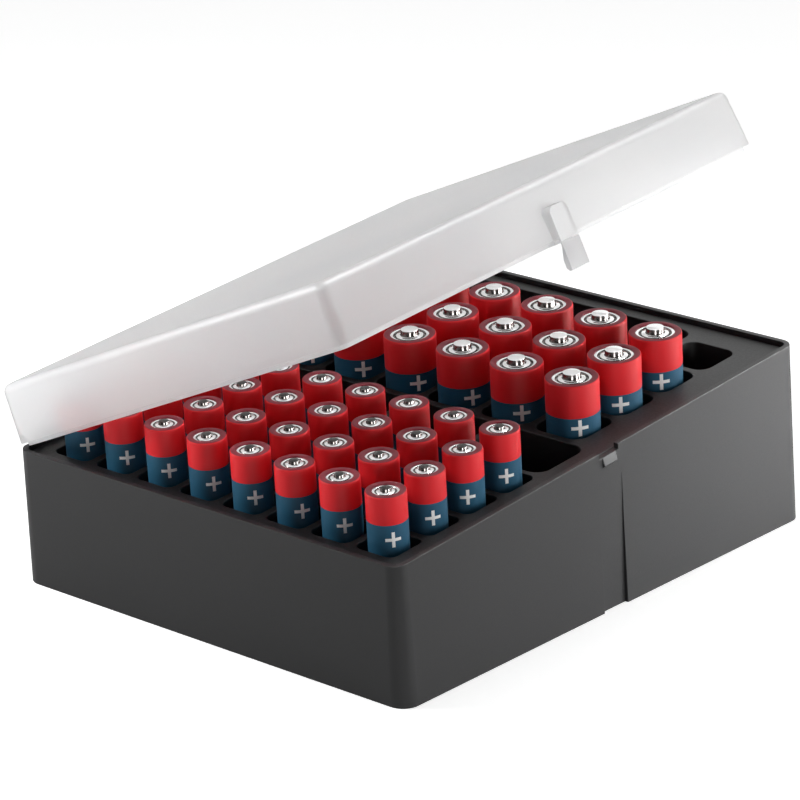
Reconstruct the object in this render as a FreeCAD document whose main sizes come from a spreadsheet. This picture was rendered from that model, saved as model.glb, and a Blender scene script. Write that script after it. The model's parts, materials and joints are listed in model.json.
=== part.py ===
import FreeCAD, Part
import math
import os
import Sketcher
from FreeCAD import Placement, Rotation, Vector

# Battery storage case: a leaning tray of round and oblong slots in a housing whose
# bottom is cut level, under a clear hinged lid with a snap latch.
#
# Two frames are used. The level frame has its origin on the resting plane. The tray
# frame has its origin in the middle of the housing's rim: its X axis runs along the
# rim, which climbs to the right, and its Z axis is square to the rim. The lid is
# drawn shut, in the tray frame, and its Placement then opens it about the hinge.

# Driving sizes, in millimetres and degrees. Shares and counts are plain numbers.
sizes = {
    # Housing
    "cornerRadius": 4.0,
    "tiltAngle": 4.75,
    "wallDraft": 1.25,
    "lipWall": 1.6,
    "lipHeight": 1.5,
    "ledgeWidth": 0.9,
    "cutOverrun": 5.0,
    # Layout of the slots along the case
    "leftMargin": 6.4,
    "wallBeforeBlocks": 1.8,
    "blockSlotWidth": 19.6,
    "wallAfterBlocks": 2.6,
    "rightMargin": 11.4,
    "sideMargin": 7.0,
    # Tray
    "plateThickness": 1.8,
    "trayGap": 0.15,
    "slotFloor": 1.6,
    "slotWall": 1.6,
    "smallColumns": 4,
    "smallRows": 8,
    "smallPitch": 15.0,
    "smallSlot": 12.5,
    "smallCorner": 2.2,
    "largeColumns": 3,
    "largeRows": 6,
    "largePitch": 18.5,
    "largeSlot": 16.2,
    "largeCorner": 3.6,
    "troughReach": 5.2,
    "troughCorner": 4.0,
    "blockRows": 4,
    "blockRib": 2.2,
    "blockCorner": 4.0,
    "blockFloorDepth": 36.3,
    # Small and large cells
    "smallDiameter": 10.5,
    "smallCan": 43.5,
    "smallStand": 13.2,
    "smallNubDiameter": 3.0,
    "smallNubHeight": 1.0,
    "smallBevel": 0.5,
    "largeDiameter": 14.5,
    "largeCan": 49.2,
    "largeStand": 12.2,
    "largeNubDiameter": 5.0,
    "largeNubHeight": 1.3,
    "largeBevel": 0.6,
    # Base plate and its screws
    "baseThickness": 2.0,
    "baseGap": 0.15,
    "underGap": 4.1,
    "bossDiameter": 6.5,
    "bossEmbed": 0.8,
    "bossInset": 24.0,
    "pilotDiameter": 2.2,
    "pilotDepth": 5.5,
    "screwHoleDiameter": 3.0,
    "screwLength": 5.0,
    "screwHeadDiameter": 5.0,
    "screwHeadHeight": 1.0,
    "headRecessDiameter": 5.8,
    "headRecessDepth": 1.2,
    "recessDepth": 2.4,
    # Catch, notch and groove in the middle of the front
    "catchWidth": 5.6,
    "catchReach": 0.85,
    "catchTop": 1.0,
    "catchPeak": 3.9,
    "catchBase": 4.5,
    "notchWidth": 8.2,
    "grooveWidth": 10.0,
    "grooveTop": 7.6,
    "grooveDepth": 1.0,
    # Hinge
    "hingeOut": 1.0,
    "knuckleRadius": 2.5,
    "knuckleWidth": 12.0,
    "knuckleGap": 0.3,
    "earWidth": 3.6,
    "gussetReach": 8.5,
    "gussetStep": 1.8,
    "hingeInset": 35.5,
    "pinDiameter": 2.5,
    "pinClearance": 0.05,
    # Lid
    "openAngle": 25.0,
    "rimGap": 0.2,
    "lidHeight": 16.3,
    "lidDraft": 4.2,
    "lidWall": 1.5,
    "lidTop": 1.5,
    "lidRound": 2.4,
    "lidInnerRound": 1.0,
    "edgeSlack": 0.4,
    "skirtGap": 0.25,
    "skirtThickness": 1.0,
    "skirtDrop": 1.0,
    "stepHeight": 2.0,
    "stepEmbed": 0.7,
    "wallEmbed": 1.0,
    # Latch
    "tabWidth": 7.3,
    "tabReach": 2.4,
    "tabTop": 8.8,
    "tabRound": 1.8,
    "neckThickness": 0.6,
    "neckDepth": 1.0,
    "neckGap": 0.15,
    "flapShoulder": 1.7,
    "flapSwell": 5.3,
    "flapSwellThickness": 1.8,
    "flapTaper": 7.6,
    "flapTip": 8.4,
    "flapTipThickness": 1.0,
}

# Sizes that follow from the driving ones
derived = {
    "tiltSine": "sin(tiltAngle * 1deg)",
    "tiltCosine": "cos(tiltAngle * 1deg)",
    "tiltSlope": "tan(tiltAngle * 1deg)",
    "draftSlope": "tan(wallDraft * 1deg)",
    "smallSpanX": "(smallColumns - 1) * smallPitch + smallSlot",
    "smallSpanY": "(smallRows - 1) * smallPitch + smallSlot",
    "largeSpanX": "largeColumns * largePitch + largeSlot",
    "largeSpanY": "(largeRows - 1) * largePitch + largeSlot",
    "caseLength": "leftMargin + smallSpanX + wallBeforeBlocks + blockSlotWidth"
                  " + wallAfterBlocks + largeSpanX + rightMargin",
    "caseDepth": "smallSpanY + 2 * sideMargin",
    "halfLength": "caseLength / 2",
    "halfDepth": "caseDepth / 2",
    # Openings in the housing
    "recessHalfLength": "halfLength - lipWall",
    "recessHalfDepth": "halfDepth - lipWall",
    "recessRadius": "cornerRadius - lipWall",
    "recessDepthTop": "lipHeight + plateThickness",
    "innerHalfLength": "recessHalfLength - ledgeWidth",
    "innerHalfDepth": "recessHalfDepth - ledgeWidth",
    "innerRadius": "recessRadius - ledgeWidth",
    # Depth of the middle of the housing: the lowest block of slots clears the base plate
    "baseDepth": "baseThickness / tiltCosine + slotFloor + underGap",
    "smallNeed": "smallFloorDepth + (smallMidX + smallHalfX) * tiltSlope",
    "nineNeed": "blockFloorDepth + (blockFirstX + nineHalfX) * tiltSlope",
    "largeNeed": "largeFloorDepth + (largeHalfX - largeMidX) * tiltSlope",
    "midDepth": "max(smallNeed; nineNeed; largeNeed) + baseDepth",
    "shellReach": "midDepth + halfLength * tiltSlope + cutOverrun",
    "cutFar": "halfLength + shellReach",
    "groundFarLeft": "midDepth - cutFar * tiltSlope",
    "groundFarRight": "midDepth + cutFar * tiltSlope",
    "cutBelow": "groundFarRight + cutOverrun",
    "cutWidth": "caseDepth + 2 * shellReach",
    "draftLeft": "(midDepth - halfLength * tiltSlope) * draftSlope",
    "draftMid": "midDepth * draftSlope",
    "draftRight": "(midDepth + halfLength * tiltSlope) * draftSlope",
    # Base plate and its seat, in the level frame
    "seatLeft": "(halfLength + draftLeft) / tiltCosine - lipWall",
    "seatRight": "(halfLength + draftRight) / tiltCosine - lipWall",
    "seatHalfDepth": "halfDepth + draftLeft - lipWall",
    "baseLeft": "seatLeft - baseGap",
    "baseRight": "seatRight - baseGap",
    "baseHalfDepth": "seatHalfDepth - baseGap",
    "baseRadius": "recessRadius - baseGap",
    # Tray plate and the blocks of slots under it
    "plateHalfLength": "recessHalfLength - trayGap",
    "plateHalfDepth": "recessHalfDepth - trayGap",
    "plateRadius": "recessRadius - trayGap",
    "smallLeft": "halfLength - leftMargin",
    "smallRight": "smallLeft - smallSpanX",
    "blockLeft": "smallRight - wallBeforeBlocks",
    "blockRight": "blockLeft - blockSlotWidth",
    "largeLeft": "-(blockRight - wallAfterBlocks)",
    "largeRight": "largeLeft + largeSpanX",
    "troughLeft": "largeRight - largeSlot",
    "troughRight": "largeRight + troughReach",
    "troughFront": "largeSpanY / 2 - largePitch",
    "troughBack": "largeSpanY / 2",
    "smallFirstX": "smallSlot / 2 - smallLeft",
    "smallFirstY": "smallSpanY / 2 - smallSlot / 2",
    "largeFirstX": "largeLeft + largeSlot / 2",
    "largeFirstY": "largeSpanY / 2 - largeSlot / 2",
    "endSlotX": "largeFirstX + largeColumns * largePitch",
    "blockSlotDepth": "(smallSpanY - (blockRows - 1) * blockRib) / blockRows",
    "blockFirstX": "(blockLeft + blockRight) / 2",
    "blockFirstY": "smallSpanY / 2 - blockSlotDepth / 2",
    "smallFloorDepth": "smallCan - smallStand",
    "largeFloorDepth": "largeCan - largeStand",
    "smallBlockReach": "smallFloorDepth + slotFloor - recessDepthTop",
    "largeBlockReach": "largeFloorDepth + slotFloor - recessDepthTop",
    "nineBlockReach": "blockFloorDepth + slotFloor - recessDepthTop",
    "smallPocket": "smallFloorDepth - lipHeight",
    "largePocket": "largeFloorDepth - lipHeight",
    "blockPocket": "blockFloorDepth - lipHeight",
    "smallHalfX": "smallSpanX / 2 + slotWall",
    "smallHalfY": "smallSpanY / 2 + slotWall",
    "smallMidX": "(smallLeft + smallRight) / 2",
    "largeHalfX": "(troughRight - largeLeft) / 2 + slotWall",
    "largeHalfY": "largeSpanY / 2 + slotWall",
    "largeMidX": "(largeLeft + troughRight) / 2",
    "nineHalfX": "blockSlotWidth / 2 + slotWall",
    # Slot outlines: a side, the corner's start on it, and the middle of the corner
    "cornerShare": "1 - sqrt(2) / 2",
    "smallSide": "smallSlot / 2",
    "smallFlat": "smallSide - smallCorner",
    "smallBend": "smallSide - smallCorner * cornerShare",
    "largeSide": "largeSlot / 2",
    "largeFlat": "largeSide - largeCorner",
    "largeBend": "largeSide - largeCorner * cornerShare",
    "nineSide": "blockSlotWidth / 2",
    "nineFlat": "nineSide - blockCorner",
    "nineBend": "nineSide - blockCorner * cornerShare",
    "nineEndSide": "blockSlotDepth / 2",
    "nineEndFlat": "nineEndSide - blockCorner",
    "nineEndBend": "nineEndSide - blockCorner * cornerShare",
    "smallPatternX": "(smallColumns - 1) * smallPitch",
    "smallPatternY": "(smallRows - 1) * smallPitch",
    "largePatternX": "(largeColumns - 1) * largePitch",
    "largePatternY": "(largeRows - 1) * largePitch",
    "blockPatternY": "(blockRows - 1) * (blockSlotDepth + blockRib)",
    # Screw bosses: level distances from the origin, and how far each boss rises
    "bossLeftX": "smallMidX / tiltCosine",
    "bossRightX": "largeMidX / tiltCosine",
    "bossY": "halfDepth - bossInset",
    "bossLeftRise": "(midDepth - smallMidX * tiltSlope - smallFloorDepth - slotFloor)"
                    " * tiltCosine - baseThickness + bossEmbed",
    "bossRightRise": "(midDepth + largeMidX * tiltSlope - largeFloorDepth - slotFloor)"
                     " * tiltCosine - baseThickness + bossEmbed",
    "bossRadius": "bossDiameter / 2",
    "pilotRadius": "pilotDiameter / 2",
    "screwHoleRadius": "screwHoleDiameter / 2",
    "screwHeadRadius": "screwHeadDiameter / 2",
    "headRecessRadius": "headRecessDiameter / 2",
    # Cells
    "smallRadius": "smallDiameter / 2",
    "largeRadius": "largeDiameter / 2",
    "smallNubRadius": "smallNubDiameter / 2",
    "largeNubRadius": "largeNubDiameter / 2",
    "smallShoulder": "smallRadius - smallBevel",
    "largeShoulder": "largeRadius - largeBevel",
    "smallEdge": "smallCan - smallBevel",
    "largeEdge": "largeCan - largeBevel",
    "smallTotal": "smallCan + smallNubHeight",
    "largeTotal": "largeCan + largeNubHeight",
    # Front features, as distances from the middle of the case
    "catchFace": "halfDepth + catchReach",
    "catchRoot": "halfDepth - lipWall / 2",
    "halfNotch": "notchWidth / 2",
    "notchOut": "halfDepth + cutOverrun",
    "notchIn": "recessHalfDepth - trayGap",
    "grooveStart": "halfDepth + grooveTop * draftSlope",
    "grooveEnd": "halfDepth + draftMid - grooveDepth",
    # Hinge, measured to the back
    "axisY": "halfDepth + hingeOut",
    "knuckleInner": "axisY - knuckleRadius",
    "knuckleOuter": "axisY + knuckleRadius",
    "reliefRadius": "knuckleRadius + knuckleGap",
    "knuckleSlot": "knuckleWidth + 2 * knuckleGap",
    "earSlot": "earWidth + 2 * knuckleGap",
    "halfHinge": "halfLength - hingeInset",
    "earOffset": "(knuckleWidth + earWidth) / 2 + knuckleGap",
    "earInnerX": "halfHinge - earOffset",
    "earOuterX": "halfHinge + earOffset",
    "pinRadius": "pinDiameter / 2",
    "pinBoreRadius": "pinRadius + pinClearance",
    "pinLength": "knuckleWidth + 2 * knuckleGap + 2 * earWidth",
    # Lid
    "lidRise": "lidHeight - rimGap",
    "lidPocket": "lidRise - lidTop",
    "lidInnerHalfLength": "halfLength - lidWall",
    "lidInnerHalfDepth": "halfDepth - lidWall",
    "lidInnerRadius": "cornerRadius - lidWall",
    "stepOutHalfLength": "halfLength - stepEmbed",
    "stepOutHalfDepth": "halfDepth - stepEmbed",
    "stepOutRadius": "cornerRadius - stepEmbed",
    "skirtOutHalfLength": "recessHalfLength - skirtGap",
    "skirtOutHalfDepth": "recessHalfDepth - skirtGap",
    "skirtOutRadius": "recessRadius - skirtGap",
    "skirtInHalfLength": "skirtOutHalfLength - skirtThickness",
    "skirtInHalfDepth": "skirtOutHalfDepth - skirtThickness",
    "skirtInRadius": "skirtOutRadius - skirtThickness",
    "skirtRise": "skirtDrop + rimGap + stepHeight / 2",
    # Latch
    "halfTab": "tabWidth / 2",
    "tabFace": "halfDepth + tabReach",
    "tabRoot": "halfDepth - wallEmbed",
    "fillRoot": "skirtOutHalfDepth - skirtThickness / 2",
    "fillTop": "rimGap + stepHeight / 2",
    "neckBack": "tabFace - neckThickness",
    "neckMiddle": "tabFace - neckThickness / 2",
    "neckStop": "neckDepth - neckThickness / 2 - neckGap",
    "flapSwellBack": "tabFace - flapSwellThickness",
    "flapTipBack": "tabFace - flapTipThickness",
}

document = FreeCAD.newDocument("BatteryCase")
sheet = document.addObject("Spreadsheet::Sheet", "Sizes")


def fillSheet():
    """One row for each size: its name in column A, its value or formula in column B."""
    rows = [(name, str(number)) for name, number in sizes.items()]
    rows += [(name, "=" + formula) for name, formula in derived.items()]
    for row, (name, text) in enumerate(rows, start=1):
        sheet.set("A%d" % row, name)
        sheet.set("B%d" % row, text)
        sheet.setAlias("B%d" % row, name)
    document.recompute()


def size(term):
    """The value of a size. A leading minus gives the opposite."""
    if term == "0":
        return 0.0
    return -sheet.get(term[1:]) if term.startswith("-") else sheet.get(term)


def formula(term):
    """The expression that binds a property to a size."""
    if term == "0":
        return "0"
    return "-Sizes." + term[1:] if term.startswith("-") else "Sizes." + term


def originPart(body, role):
    """The plane or axis of a body's own origin with this role."""
    return [o for o in body.Origin.OriginFeatures if o.Role == role][0]


def newBody(label, frame):
    """An empty body, placed by what its frame needs."""
    body = document.addObject("PartDesign::Body", "Body_" + label)
    body.Label = label
    frame(body)
    return body


def levelFrame(body):
    """The level frame: the body stays where it is drawn."""
    body.Placement = Placement()


def trayFrame(body):
    """The tray frame, leaning so that the housing's cut bottom is level."""
    body.Placement = Placement(Vector(), Rotation(Vector(0, 1, 0), -size("tiltAngle")))
    body.setExpression("Placement.Rotation.Angle", "-Sizes.tiltAngle * 1deg")
    body.setExpression("Placement.Base.x", "-Sizes.midDepth * Sizes.tiltSine")
    body.setExpression("Placement.Base.z", "Sizes.midDepth * Sizes.tiltCosine")


def lidFrame(body):
    """The tray frame, then opened about the hinge axis."""
    lean = Rotation(Vector(0, 1, 0), -size("tiltAngle"))
    tray = Placement(Vector(-size("midDepth") * size("tiltSine"), 0,
                            size("midDepth") * size("tiltCosine")), lean)
    axis = Vector(0, size("axisY"), 0)
    swing = Placement(axis, Rotation(Vector(1, 0, 0), -size("openAngle")))
    body.Placement = tray * swing * Placement(-axis, Rotation())


def newSketch(body, name, role, along="0", across="0", out="0"):
    """A sketch on one of the body's own planes, shifted in and off that plane."""
    sketch = body.newObject("Sketcher::SketchObject", name)
    sketch.AttachmentSupport = [(originPart(body, role), "")]
    sketch.MapMode = "FlatFace"
    for letter, term in (("x", along), ("y", across), ("z", out)):
        if term != "0":
            sketch.setExpression("AttachmentOffset.Base." + letter, formula(term))
    return sketch


def levelSketch(body, name, out="0"):
    """A sketch on the cut bottom of a body drawn in the tray frame."""
    sketch = newSketch(body, name, "XY_Plane")
    sketch.AttachmentOffset = Placement(Vector(), Rotation(Vector(0, 1, 0), size("tiltAngle")))
    sketch.setExpression("AttachmentOffset.Rotation.Angle", "Sizes.tiltAngle * 1deg")
    if out == "0":
        sketch.setExpression("AttachmentOffset.Base.z", "-Sizes.midDepth")
        return sketch
    rise = formula(out)
    sketch.setExpression("AttachmentOffset.Base.x", rise + " * Sizes.tiltSine")
    sketch.setExpression("AttachmentOffset.Base.z",
                         rise + " * Sizes.tiltCosine - Sizes.midDepth")
    return sketch


def pin(sketch, geometry, point, x, y):
    """Ties one point of a sketch to two sizes."""
    for kind, term, line in (("DistanceX", x, -2), ("DistanceY", y, -1)):
        if term == "0":
            sketch.addConstraint(Sketcher.Constraint("PointOnObject", geometry, point, line))
            continue
        index = sketch.addConstraint(
            Sketcher.Constraint(kind, -1, 1, geometry, point, size(term)))
        sketch.setExpression("Constraints[%d]" % index, formula(term))


def addOutline(sketch, corners):
    """A closed outline through corners given as pairs of sizes."""
    first = sketch.GeometryCount
    points = [Vector(size(x), size(y), 0) for x, y in corners]
    for here, there in zip(points, points[1:] + points[:1]):
        sketch.addGeometry(Part.LineSegment(here, there), False)
    count = len(corners)
    for i in range(count):
        sketch.addConstraint(Sketcher.Constraint(
            "Coincident", first + i, 2, first + (i + 1) % count, 1))
    for i, (x, y) in enumerate(corners):
        pin(sketch, first + i, 1, x, y)


def addRoundedOutline(sketch, left, right, front, back, radius):
    """A rectangle with round corners between four sizes."""
    x0, x1, y0, y1, r = (size(term) for term in (left, right, front, back, radius))
    first = sketch.GeometryCount
    sides = (((x0 + r, y0), (x1 - r, y0)), ((x1, y0 + r), (x1, y1 - r)),
             ((x1 - r, y1), (x0 + r, y1)), ((x0, y1 - r), (x0, y0 + r)))
    for here, there in sides:
        sketch.addGeometry(Part.LineSegment(Vector(*here, 0), Vector(*there, 0)), False)
    quarter = math.pi / 2
    centres = ((x1 - r, y0 + r), (x1 - r, y1 - r), (x0 + r, y1 - r), (x0 + r, y0 + r))
    for turn, centre in enumerate(centres, start=-1):
        circle = Part.Circle(Vector(*centre, 0), Vector(0, 0, 1), r)
        sketch.addGeometry(Part.ArcOfCircle(circle, turn * quarter, (turn + 1) * quarter), False)
    for i in range(4):
        sketch.addConstraint(Sketcher.Constraint("Tangent", first + i, 2, first + 4 + i, 1))
        sketch.addConstraint(
            Sketcher.Constraint("Tangent", first + 4 + i, 2, first + (i + 1) % 4, 1))
        sketch.addConstraint(Sketcher.Constraint(
            "Horizontal" if i % 2 == 0 else "Vertical", first + i))
    for i in range(1, 4):
        sketch.addConstraint(Sketcher.Constraint("Equal", first + 4, first + 4 + i))
    index = sketch.addConstraint(Sketcher.Constraint("Radius", first + 4, r))
    sketch.setExpression("Constraints[%d]" % index, formula(radius))
    for side, kind, term in ((0, "DistanceY", front), (1, "DistanceX", right),
                             (2, "DistanceY", back), (3, "DistanceX", left)):
        index = sketch.addConstraint(
            Sketcher.Constraint(kind, -1, 1, first + side, 1, size(term)))
        sketch.setExpression("Constraints[%d]" % index, formula(term))


def addCircle(sketch, x, y, radius):
    """A circle about a point given by two sizes."""
    centre = Vector(size(x), size(y), 0)
    number = sketch.addGeometry(Part.Circle(centre, Vector(0, 0, 1), size(radius)), False)
    pin(sketch, number, 3, x, y)
    index = sketch.addConstraint(Sketcher.Constraint("Radius", number, size(radius)))
    sketch.setExpression("Constraints[%d]" % index, formula(radius))
    return number


def extrude(body, kind, name, sketch, length, reverse=False, middle=False, taper=None):
    """A pad or pocket whose length follows a size."""
    feature = body.newObject("PartDesign::" + kind, name)
    feature.Profile = sketch
    feature.Type = "Length"
    feature.setExpression("Length", formula(length))
    feature.Reversed = reverse
    if middle:
        feature.SideType = "Symmetric"
    if taper:
        feature.setExpression("TaperAngle", formula(taper))
    return feature


def gridOf(body, name, feature, alongX, countX, alongY, countY):
    """Copies of a feature along the body's X and Y axes."""
    pattern = body.newObject("PartDesign::LinearPattern", name)
    pattern.Originals = [feature]
    pattern.Direction = (originPart(body, "X_Axis"), [""])
    pattern.Direction2 = (originPart(body, "Y_Axis"), [""])
    pattern.setExpression("Length", formula(alongX))
    pattern.setExpression("Occurrences", formula(countX))
    pattern.setExpression("Length2", formula(alongY))
    pattern.setExpression("Occurrences2", formula(countY))
    body.Tip = pattern
    return pattern


def rowOf(body, name, feature, axis, along, count):
    """Copies of a feature along one axis of the body."""
    pattern = body.newObject("PartDesign::LinearPattern", name)
    pattern.Originals = [feature]
    pattern.Direction = (originPart(body, axis), [""])
    pattern.setExpression("Length", formula(along))
    pattern.setExpression("Occurrences", formula(count))
    body.Tip = pattern
    return pattern


def roundEdges(body, name, base, radius, wanted):
    """A fillet on the edges of a feature that a test picks."""
    document.recompute()
    names = ["Edge%d" % (i + 1) for i, edge in enumerate(base.Shape.Edges) if wanted(edge)]
    fillet = body.newObject("PartDesign::Fillet", name)
    fillet.Base = (base, names)
    fillet.setExpression("Radius", formula(radius))
    return fillet


def makeCaseShell():
    """The housing: drafted walls, a lip round the tray, a bottom cut level."""
    body = newBody("case_shell", trayFrame)
    outline = newSketch(body, "ShellOutline", "XY_Plane")
    addRoundedOutline(outline, "-halfLength", "halfLength", "-halfDepth", "halfDepth",
                      "cornerRadius")
    extrude(body, "Pad", "ShellWalls", outline, "shellReach", reverse=True, taper="wallDraft")

    inner = newSketch(body, "InnerOutline", "XY_Plane")
    addRoundedOutline(inner, "-innerHalfLength", "innerHalfLength", "-innerHalfDepth",
                      "innerHalfDepth", "innerRadius")
    extrude(body, "Pocket", "ShellInside", inner, "shellReach", taper="wallDraft")

    recess = newSketch(body, "RecessOutline", "XY_Plane")
    addRoundedOutline(recess, "-recessHalfLength", "recessHalfLength", "-recessHalfDepth",
                      "recessHalfDepth", "recessRadius")
    extrude(body, "Pocket", "TrayRecess", recess, "recessDepthTop")

    ground = newSketch(body, "GroundCut", "XZ_Plane")
    addOutline(ground, [("-cutFar", "-groundFarLeft"), ("-cutFar", "-cutBelow"),
                        ("cutFar", "-cutBelow"), ("cutFar", "-groundFarRight")])
    extrude(body, "Pocket", "LevelBottom", ground, "cutWidth", middle=True)

    seat = levelSketch(body, "BaseSeatOutline")
    addRoundedOutline(seat, "-seatLeft", "seatRight", "-seatHalfDepth", "seatHalfDepth",
                      "recessRadius")
    extrude(body, "Pocket", "BaseSeat", seat, "baseThickness", reverse=True)

    addCatch(body)
    addEars(body)
    return body


def addCatch(body):
    """The wedge that the latch hooks under, the notch over it and the groove below."""
    wedge = newSketch(body, "CatchProfile", "YZ_Plane")
    addOutline(wedge, [("-catchRoot", "-catchTop"), ("-halfDepth", "-catchTop"),
                       ("-catchFace", "-catchPeak"), ("-halfDepth", "-catchBase"),
                       ("-catchRoot", "-catchBase")])
    extrude(body, "Pad", "Catch", wedge, "catchWidth", middle=True)

    notch = newSketch(body, "NotchOutline", "XY_Plane")
    addOutline(notch, [("-halfNotch", "-notchOut"), ("halfNotch", "-notchOut"),
                       ("halfNotch", "-notchIn"), ("-halfNotch", "-notchIn")])
    extrude(body, "Pocket", "LipNotch", notch, "lipHeight")

    groove = newSketch(body, "GrooveProfile", "YZ_Plane")
    addOutline(groove, [("-notchOut", "-grooveTop"), ("-notchOut", "-shellReach"),
                        ("-grooveEnd", "-shellReach"), ("-grooveStart", "-grooveTop")])
    extrude(body, "Pocket", "Groove", groove, "grooveWidth", middle=True)


def addEars(body):
    """Four ears on the back, in pairs beside the lid's knuckles, bored for the pins."""
    for name, place in (("LeftRelief", "-halfHinge"), ("RightRelief", "halfHinge")):
        cutRelief(body, name, place, "knuckleSlot")
    for i, place in enumerate(("-earOuterX", "-earInnerX", "earInnerX", "earOuterX"), start=1):
        addHingeProfile(body, "Ear%d" % i, place, "earWidth", "-")
    cutPinBore(body, "pinRadius")


def cutRelief(body, name, place, width):
    """Room about the hinge axis for a knuckle or an ear of the other piece."""
    outline = newSketch(body, name + "Outline", "YZ_Plane", out=place)
    addCircle(outline, "axisY", "0", "reliefRadius")
    extrude(body, "Pocket", name, outline, width, middle=True)


def cutPinBore(body, radius):
    """One bore along the hinge axis, through every ear or knuckle of a piece."""
    outline = newSketch(body, "PinBoreOutline", "YZ_Plane")
    addCircle(outline, "axisY", "0", radius)
    extrude(body, "Pocket", "PinBore", outline, "caseLength", middle=True)


def addHingeProfile(body, name, place, width, side):
    """An ear or a knuckle: a half disc on a gusset that runs down or up the wall."""
    sketch = newSketch(body, name + "Profile", "YZ_Plane", out=place)
    corners = [("knuckleOuter", "0"), ("knuckleOuter", side + "gussetStep"),
               ("knuckleInner", side + "gussetReach"), ("knuckleInner", "0")]
    points = [Vector(size(x), size(y), 0) for x, y in corners]
    for here, there in zip(points, points[1:]):
        sketch.addGeometry(Part.LineSegment(here, there), False)
    crown = Vector(size("axisY"), size("knuckleRadius") * (1 if side else -1), 0)
    sketch.addGeometry(Part.Arc(points[-1], crown, points[0]), False)
    # An arc runs anticlockwise, so over the top it starts at the outer side.
    start, end = (2, 1) if side else (1, 2)
    for ends in ((0, 2, 1, 1), (1, 2, 2, 1), (2, 2, 3, start), (3, end, 0, 1)):
        sketch.addConstraint(Sketcher.Constraint("Coincident", *ends))
    for line, corner in zip(range(3), corners):
        pin(sketch, line, 1, *corner)
    pin(sketch, 2, 2, *corners[3])
    sketch.addConstraint(Sketcher.Constraint("PointOnObject", 3, 3, -1))
    extrude(body, "Pad", name, sketch, width, middle=True)


def makeCellTray():
    """The plate inside the lip, with a block of slots for each kind of cell. The large
    cells' block also holds one spare slot at its right front, with a trough behind it."""
    body = newBody("cell_tray", trayFrame)
    plate = newSketch(body, "PlateOutline", "XY_Plane", out="-lipHeight")
    addRoundedOutline(plate, "-plateHalfLength", "plateHalfLength", "-plateHalfDepth",
                      "plateHalfDepth", "plateRadius")
    extrude(body, "Pad", "Plate", plate, "plateThickness", reverse=True)

    blocks = (("Small", "-smallMidX", "smallHalfX", "smallHalfY", "smallBlockReach"),
              ("Nine", "-blockFirstX", "nineHalfX", "smallHalfY", "nineBlockReach"),
              ("Large", "largeMidX", "largeHalfX", "largeHalfY", "largeBlockReach"))
    for name, middle, halfX, halfY, reach in blocks:
        outline = newSketch(body, name + "BlockOutline", "XY_Plane", along=middle,
                            out="-recessDepthTop")
        addOutline(outline, [("-" + halfX, "-" + halfY), (halfX, "-" + halfY),
                             (halfX, halfY), ("-" + halfX, halfY)])
        extrude(body, "Pad", name + "Block", outline, reach, reverse=True)

    addBosses(body)
    slots = (("Small", "smallFirstX", "-smallFirstY", "small", "small", "smallPocket"),
             ("Large", "largeFirstX", "-largeFirstY", "large", "large", "largePocket"),
             ("End", "endSlotX", "-largeFirstY", "large", "large", "largePocket"),
             ("Nine", "-blockFirstX", "-blockFirstY", "nine", "nineEnd", "blockPocket"))
    pockets = {}
    for name, x, y, sideways, endways, depth in slots:
        outline = newSketch(body, name + "SlotOutline", "XY_Plane", along=x, across=y,
                            out="-lipHeight")
        addOutline(outline, slotCorners(sideways, endways))
        pockets[name] = extrude(body, "Pocket", name + "Slot", outline, depth)
    gridOf(body, "SmallSlots", pockets["Small"], "smallPatternX", "smallColumns",
           "smallPatternY", "smallRows")
    gridOf(body, "LargeSlots", pockets["Large"], "largePatternX", "largeColumns",
           "largePatternY", "largeRows")
    rowOf(body, "NineSlots", pockets["Nine"], "Y_Axis", "blockPatternY", "blockRows")

    trough = newSketch(body, "TroughOutline", "XY_Plane", out="-lipHeight")
    addRoundedOutline(trough, "troughLeft", "troughRight", "-troughFront", "troughBack",
                      "troughCorner")
    extrude(body, "Pocket", "Trough", trough, "largePocket")
    return body


def slotCorners(sideways, endways):
    """The outline of a slot, where two flats stand for the round of each corner."""
    steps = (("Side", "Flat"), ("Bend", "Bend"), ("Flat", "Side"))
    corners = []
    for signX, signY, order in (("", "", steps), ("-", "", steps[::-1]),
                                ("-", "-", steps), ("", "-", steps[::-1])):
        corners += [(signX + sideways + x, signY + endways + y) for x, y in order]
    return corners


def addBosses(body):
    """Four upright bosses that stand on the base plate and take its screws."""
    for side, x, rise in (("Left", "-bossLeftX", "bossLeftRise"),
                          ("Right", "bossRightX", "bossRightRise")):
        bosses = levelSketch(body, side + "BossOutline", "baseThickness")
        pilots = levelSketch(body, side + "PilotOutline", "baseThickness")
        for y in ("-bossY", "bossY"):
            addCircle(bosses, x, y, "bossRadius")
            addCircle(pilots, x, y, "pilotRadius")
        extrude(body, "Pad", side + "Bosses", bosses, rise)
        extrude(body, "Pocket", side + "Pilots", pilots, "pilotDepth", reverse=True)


def makeBasePlate():
    """The plate that closes the bottom, with four recessed screw holes."""
    body = newBody("base_plate", levelFrame)
    outline = newSketch(body, "BaseOutline", "XY_Plane")
    addRoundedOutline(outline, "-baseLeft", "baseRight", "-baseHalfDepth", "baseHalfDepth",
                      "baseRadius")
    extrude(body, "Pad", "Base", outline, "baseThickness")
    holes = newSketch(body, "ScrewHoleOutline", "XY_Plane")
    recesses = newSketch(body, "HeadRecessOutline", "XY_Plane")
    for x in ("-bossLeftX", "bossRightX"):
        for y in ("-bossY", "bossY"):
            addCircle(holes, x, y, "screwHoleRadius")
            addCircle(recesses, x, y, "headRecessRadius")
    extrude(body, "Pocket", "ScrewHoles", holes, "baseThickness", reverse=True)
    extrude(body, "Pocket", "HeadRecesses", recesses, "headRecessDepth", reverse=True)
    return body


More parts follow.
